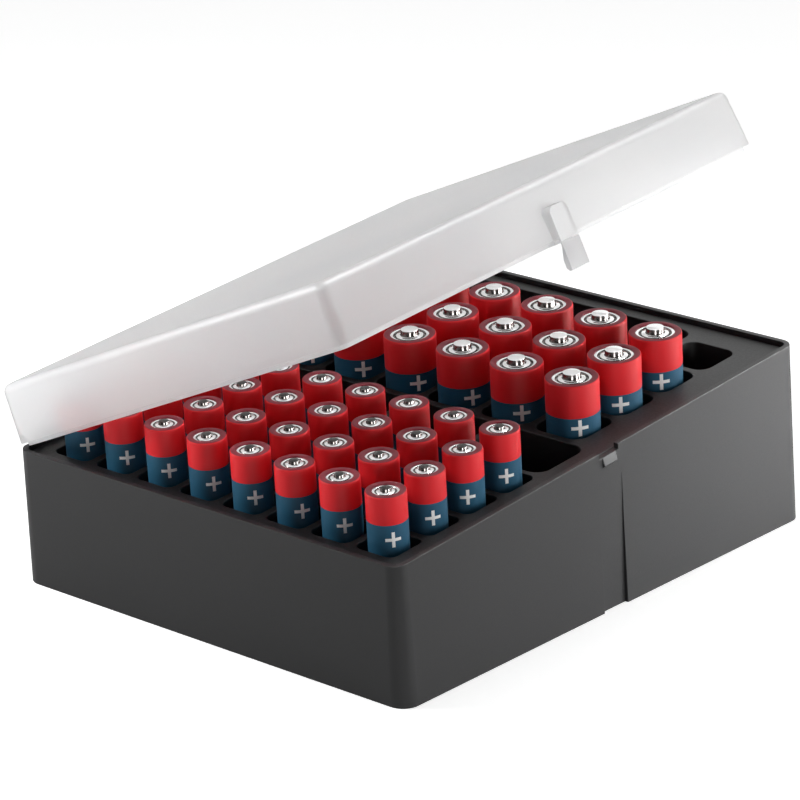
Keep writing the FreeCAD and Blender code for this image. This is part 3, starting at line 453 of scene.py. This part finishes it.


# The cells. Labels with a capital are inputs of the tree, the others shape the mesh of one
# cell. Rings are (radius, height over the can's end, place in cellFinishes of the band above).
# the last two finishes are steel with painted shade in the grooves and on the nub sides, and a
# painted dark reflection on the small nub ends
cellFinishes = ("filmRed", "filmBlue", "filmFold", "steel", "filmPrint", "steelPaintedGrooveShade",
                "steelPaintedDarkReflection")
cellKinds = {
    "small": {"Columns": 4, "Rows": 8, "Pitch": 15.0, "First X": -72.85, "First Y": -52.5,
              "Stand": -30.3, "Seed": 4, "Turn": math.radians(228.0), "Sway": 0.1,
              "segments": 40, "radius": 5.25, "can": 43.5, "band": 7.5,
              "footRim": 1.2, "footRound": 0.35, "mark": 4.1, "markAt": 3.9,
              "top": [(5.25, -0.45, 0), (5.2, -0.2, 0), (5.06, -0.05, 2), (4.85, 0.0, 2),
                      (3.62, 0.0, 2), (3.5, -0.05, 2), (3.46, -0.3, 3), (3.42, -0.3, 3),
                      (2.9, -0.3, 3), (2.82, -0.36, 5), (2.72, -0.6, 5), (2.5, -0.6, 5),
                      (2.38, -0.4, 3), (2.3, -0.34, 3), (1.62, -0.34, 3), (1.5, -0.28, 5),
                      (1.42, -0.12, 5), (1.36, 0.44, 5), (1.3, 0.56, 6), (1.14, 0.6, 6)]},
    "large": {"Columns": 3, "Rows": 6, "Pitch": 18.5, "First X": 10.5, "First Y": -46.25,
              "Stand": -37.0, "Seed": 9, "Turn": math.radians(228.0), "Sway": 0.1,
              "segments": 48, "radius": 7.25, "can": 49.2, "band": 9.2,
              "footRim": 1.2, "footRound": 0.35, "mark": 4.6, "markAt": 2.75,
              "top": [(7.25, -0.5, 0), (7.19, -0.22, 0), (7.03, -0.06, 2), (6.8, 0.0, 2),
                      (5.55, 0.0, 2), (5.4, -0.06, 2), (5.36, -0.35, 3), (5.3, -0.35, 3),
                      (4.65, -0.35, 3), (4.52, -0.42, 5), (4.32, -0.85, 5), (3.95, -0.85, 5),
                      (3.76, -0.48, 3), (3.65, -0.42, 3), (2.85, -0.42, 3), (2.64, -0.34, 5),
                      (2.5, -0.1, 5), (2.45, 1.05, 5), (2.38, 1.23, 3), (2.2, 1.3, 3)]},
}


def cellMesh(kind, sizes):
    # one cell, turned from its profile, with a plain plus sign printed under the red band
    red, blue, steel, printed = [cellFinishes.index(finish) for finish
                                 in ("filmRed", "filmBlue", "steel", "filmPrint")]
    can, radius, count = sizes["can"], sizes["radius"], sizes["segments"]
    split = can - sizes["band"]
    middle, arm = split - sizes["markAt"], sizes["mark"] / 2
    bar = math.pi * radius / count          # half the width of one segment on the side
    bend = sizes["footRound"]
    rings = [(radius - sizes["footRim"], 0.0, steel), (radius - bend, 0.0, blue),
             (radius, bend, blue), (radius, middle - arm, blue), (radius, middle - bar, blue),
             (radius, middle + bar, blue), (radius, middle + arm, blue), (radius, split, red)]
    rings += [(r, can + z, finish) for r, z, finish in sizes["top"]]
    shape = bmesh.new()
    layer = shape.faces.layers.int.new("finish")
    turns = [2 * math.pi * i / count for i in range(count)]
    loops = [[shape.verts.new((r * math.cos(a), r * math.sin(a), z)) for a in turns]
             for r, z, finish in rings]
    half = round(arm / bar - 1) // 2        # segments on each side of the middle one
    for level, (low, high) in enumerate(zip(loops, loops[1:])):
        for i in range(count):
            j = (i + 1) % count
            face = shape.faces.new((low[i], low[j], high[j], high[i]))
            side = min(i, count - i)        # segments away from the mark's middle
            upright = level in (3, 4, 5) and side == 0
            across = level == 4 and side <= half
            face[layer] = printed if upright or across else rings[level][2]
    for loop, turn, finish in ((loops[0], -1, steel), (loops[-1], 1, rings[-1][2])):
        face = shape.faces.new(loop[::turn])
        face[layer] = finish
    mesh = bpy.data.meshes.new(kind + "Cell")
    shape.to_mesh(mesh)
    shape.free()
    return mesh


def makeCells(kind):
    # one cell set at the points of its slots, each turned a little its own way
    sizes = cellKinds[kind]
    inputs = {label: value for label, value in sizes.items() if label[0].isupper()}
    inputs.update({finish: materials[finish] for finish in cellFinishes})
    tree, source, identifiers = newTree(kind + "CellRows", inputs)
    grid, size = gridOfPoints(tree, {label: source[label] for label in inputs}, "Pitch", "Pitch")
    size = workOut(tree, size, {
        "halfX": ("spanX", "MULTIPLY", 0.5), "middleX": ("First X", "ADD", "halfX"),
        "halfY": ("spanY", "MULTIPLY", 0.5), "middleY": ("First Y", "ADD", "halfY"),
        "least": ("Sway", "MULTIPLY", -1.0)})
    points = movedTo(tree, grid, size["middleX"], size["middleY"], size["Stand"])
    sway = addNode(tree, "FunctionNodeRandomValue",
                   {2: size["least"], 3: size["Sway"], "Seed": size["Seed"]}, data_type="FLOAT")
    size = workOut(tree, {**size, "sway": sway.outputs[1]}, {"turned": ("Turn", "ADD", "sway")})
    turn = addNode(tree, "ShaderNodeCombineXYZ", {2: size["turned"]})
    cells = addNode(tree, "GeometryNodeInstanceOnPoints",
                    {"Points": points, "Instance": source["Geometry"], "Rotation": turn})
    tone = addNode(tree, "FunctionNodeRandomValue", {2: 0.0, 3: 1.0, "Seed": size["Seed"]},
                   data_type="FLOAT")
    cells = addNode(tree, "GeometryNodeStoreNamedAttribute",
                    {"Geometry": cells, "Name": "cellTone", "Value": tone.outputs[1]},
                    data_type="FLOAT", domain="INSTANCE")
    cells = addNode(tree, "GeometryNodeRealizeInstances", {"Geometry": cells})
    part = addNode(tree, "GeometryNodeInputNamedAttribute", {"Name": "finish"}, data_type="INT")
    for number, finish in enumerate(cellFinishes):
        chosen = addNode(tree, "FunctionNodeCompare", {2: part, 3: number}, data_type="INT",
                         operation="EQUAL")
        cells = addNode(tree, "GeometryNodeSetMaterial",
                        {"Geometry": cells, "Selection": chosen, "Material": source[finish]})
    addNode(tree, "NodeGroupOutput", {"Geometry": cells})
    piece = runTree(kind + "Cells", cellMesh(kind, sizes), tree, identifiers, inputs)
    shadeByAngle(piece.data, degrees=40.0)
    stood = [name for name in nodes if name.startswith(kind + "_cell_")]
    finishPiece(piece, "case", stood)
    return piece


for kind in cellKinds:
    piece = makeCells(kind)
    print("cells made:", piece.name, len(piece.data.polygons), "faces")


# The other pieces are copies of the solids' meshes with rounded edges. Each entry gives the
# new name, the finish, the round in millimetres, the body it rides on and its material slot.
casePieces = {
    "case_shell": ("housing", "housing", 0.22, "case", "housing_black"),
    "base_plate": ("basePlate", "housing", 0.25, "case", "housing_black"),
    "base_screws": ("baseScrews", "screw", 0.2, "case", "steel"),
    "hinge_pin_left": ("hingePinLeft", "screw", 0.2, "case", "steel"),
    "hinge_pin_right": ("hingePinRight", "screw", 0.2, "case", "steel"),
}
lidPieces = {
    "lid_shell": ("lidShell", "lid", 0.22, "lid", "lid_clear"),
    "latch_tab": ("latchFlap", "flap", 0.18, "latch", "lid_clear"),
}
for stage, pieces in (("housing", casePieces), ("lid", lidPieces)):
    faces = 0
    for node, (name, finish, edgeRound, body, slot) in pieces.items():
        piece = softCopy(node, name, finish, edgeRound)
        finishPiece(piece, body, [node])
        faces += len(piece.data.polygons)
    print(stage, "made:", faces, "faces")


whiteLight = (1.0, 1.0, 1.0, 1.0)
paperFloor = {"colour": "#F4F4F4", "half": 6.0, "roughness": 0.9, "glow": 0.62, "sheen": 0.1}


def seenRays(tree):
    # rays that come from the camera or through the frosted lid, and rays off a shiny surface
    rays = addNode(tree, "ShaderNodeLightPath")
    seen = addNode(tree, "ShaderNodeMath", {0: rays.outputs["Is Camera Ray"],
                                            1: rays.outputs["Is Transmission Ray"]},
                   operation="MAXIMUM")
    return seen, rays.outputs["Is Glossy Ray"]


def makeFloor(look):
    # matt white paper that glows for the camera only, so that it shows white with a shadow
    side = look["half"]
    mesh = bpy.data.meshes.new("floor")
    mesh.from_pydata([(-side, -side, 0.0), (side, -side, 0.0), (side, side, 0.0),
                      (-side, side, 0.0)], [], [(0, 1, 2, 3)])
    newPiece("floor", mesh)
    material, tree, shader = newMaterial("matt_white_paper", {
        "Roughness": look["roughness"], "Base Color": colour(look["colour"]),
        "Emission Color": whiteLight})
    mesh.materials.append(material)
    seen, glossy = seenRays(tree)
    glow = workOut(tree, {"seen": seen, "glossy": glossy}, {
        "plain": ("seen", "MULTIPLY", look["glow"]),
        "sheen": ("glossy", "MULTIPLY", look["sheen"]), "all": ("plain", "ADD", "sheen")})
    tree.links.new(glow["all"].outputs[0], shader.inputs["Emission Strength"])


photoCamera = {"place": (-0.7162, -0.5931, 0.3735), "ahead": (0.7218, 0.6057, -0.3349),
               "lens": 164.0, "sensor": 36.0, "near": 0.05, "far": 30.0}
room = {"light": 0.16, "darkSide": 0.12, "darkUpTo": -0.35, "whiteFrom": 0.25}


def makeRoom(look):
    # reflections find a white room behind the object and a dark one behind the camera
    world = bpy.data.worlds.new("studio")
    bpy.context.scene.world = world
    world.use_nodes = True
    tree = world.node_tree
    tree.nodes.clear()
    seen, glossy = seenRays(tree)
    direction = addNode(tree, "ShaderNodeTexCoord").outputs["Generated"]
    ahead = addNode(tree, "ShaderNodeVectorMath", {0: direction, 1: photoCamera["ahead"]},
                    operation="DOT_PRODUCT")
    mirrored = addNode(tree, "ShaderNodeMapRange", {
        "Value": ahead.outputs["Value"], "From Min": look["darkUpTo"],
        "From Max": look["whiteFrom"], "To Min": look["darkSide"], "To Max": 1.0})
    plain = addNode(tree, "ShaderNodeMapRange", {"Value": seen, "To Min": look["light"],
                                                 "To Max": 1.0})
    level = addNode(tree, "ShaderNodeMapRange", {"Value": glossy, "To Min": plain,
                                                 "To Max": mirrored})
    sky = addNode(tree, "ShaderNodeBackground", {"Color": whiteLight, "Strength": level})
    addNode(tree, "ShaderNodeOutputWorld", {"Surface": sky})


lamps = {                        # place, aim, size in metres, watts, spread in degrees
    "keyLamp": ((0.44, -0.42, 0.22), (0.06, -0.04, 0.05), 0.30, 0.45, 180.0),
    "frontLamp": ((0.3, -1.35, 0.24), (0.0, 0.0, 0.05), 0.4, 11.5, 180.0),
    "sideLamp": ((-0.36, 0.34, 0.24), (-0.20, 0.16, 0.0), 0.2, 1.9, 180.0),
    "topLamp": ((-0.1, 0.2, 1.4), (0.0, 0.0, 0.0), 0.9, 2.9, 180.0),
    "sheenCard": ((0.26, -0.215, 0.07), (0.10, -0.066, 0.0), 0.12, 0.25, 54.0),
    "edgeCard": ((0.5, 0.0, 1.0), (0.0, -0.05, 0.11), 0.5, 11.0, 180.0),
    "rearCard": ((-0.3, 1.0, 0.46), (-0.05, 0.0, 0.1), 0.4, 4.0, 180.0),
    "cornerCard": ((-0.72, -0.72, 0.16), (-0.08, -0.06, 0.06), 0.3, 2.8, 180.0),
}


def addToScene(name, data, place, direction):
    # a lamp or a camera that looks along a direction
    holder = bpy.data.objects.new(name, data)
    bpy.context.scene.collection.objects.link(holder)
    holder.location = place
    holder.rotation_euler = Vector(direction).to_track_quat("-Z", "Y").to_euler()
    return holder


def makeLamps():
    for name, (place, aim, size, power, spread) in lamps.items():
        lamp = bpy.data.lights.new(name, "AREA")
        lamp.shape, lamp.size, lamp.energy = "DISK", size, power
        lamp.spread = math.radians(spread)
        holder = addToScene(name, lamp, place, Vector(aim) - Vector(place))
        holder.visible_camera = False
        # the frosted lid shows the pale room behind it and the lamp above, not the others
        holder.visible_transmission = name == "topLamp"
        # a card only lends its sheen to the front or to the lid's edges
        holder.visible_diffuse = not name.endswith("Card")


def makeCamera(look):
    camera = bpy.data.cameras.new("photoCamera")
    camera.lens, camera.sensor_width = look["lens"], look["sensor"]
    camera.clip_start, camera.clip_end = look["near"], look["far"]
    bpy.context.scene.camera = addToScene("photoCamera", camera, look["place"], look["ahead"])
    bpy.context.scene.view_settings.view_transform = "Standard"


makeFloor(paperFloor)
makeRoom(room)
makeLamps()
makeCamera(photoCamera)
print("studio made:", len(lamps), "lamps and cards")
